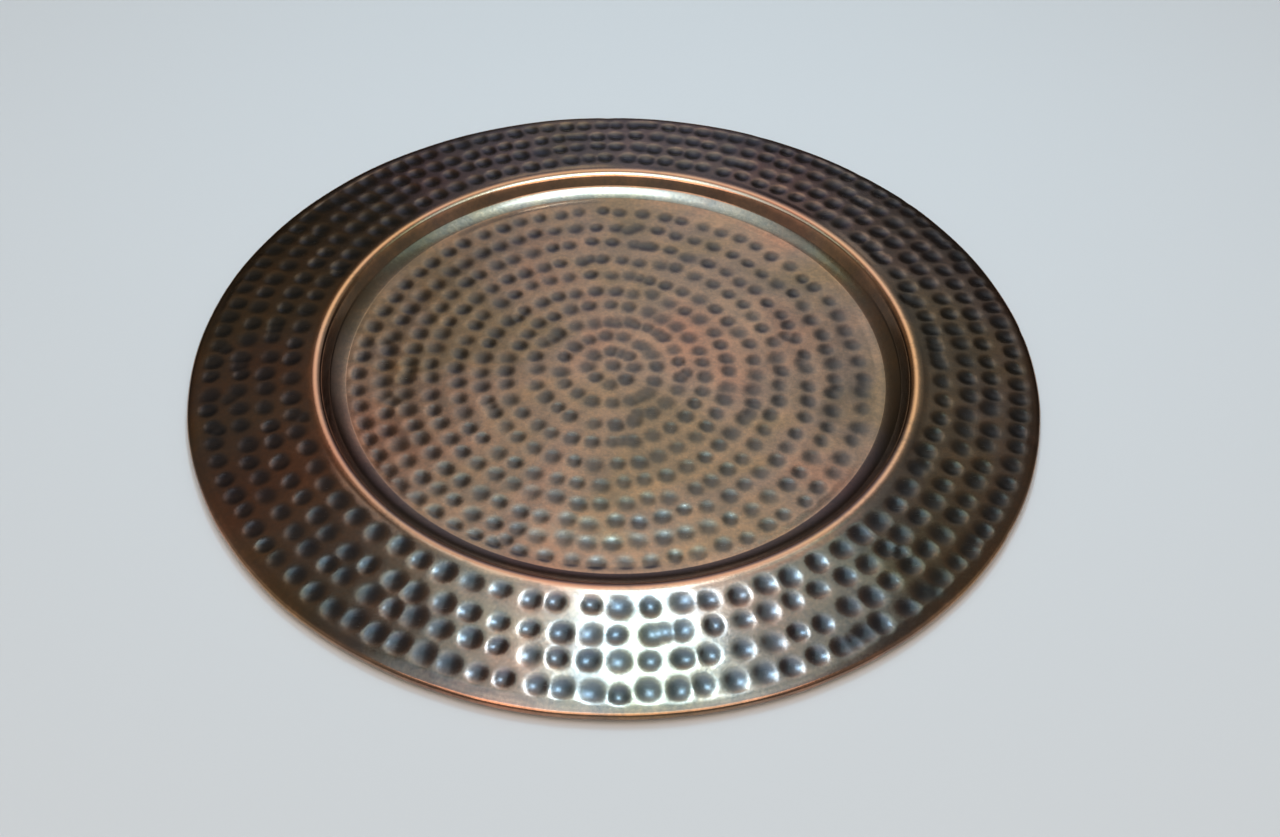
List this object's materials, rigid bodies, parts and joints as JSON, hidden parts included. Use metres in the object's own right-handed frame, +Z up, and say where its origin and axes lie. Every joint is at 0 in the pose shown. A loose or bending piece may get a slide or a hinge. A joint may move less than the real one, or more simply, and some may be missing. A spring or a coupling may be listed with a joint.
{
  "type": "hammered copper tray",
  "caption": "Round display and serving tray raised from one copper sheet, with a flat hammered floor, a steep cove, a polished bead, a falling hammered rim and a rolled, wired edge",
  "frame": {"origin": "under the centre of the floor, on the surface that the tray stands on", "axes": "+Z up along the tray's axis of symmetry; X and Y lie in the plane of the tray and are alike"},
  "size_m": [0.33, 0.33, 0.0085],
  "materials": {
    "aged_copper": "hammered copper, darkened brown and rubbed bright on the ridges, the bead and the edge",
    "edge_wire": "plain drawn wire, dull"
  },
  "bodies": {
    "root": {"tray_sheet": "aged_copper", "rim_wire": "edge_wire"}
  },
  "joints": []
}
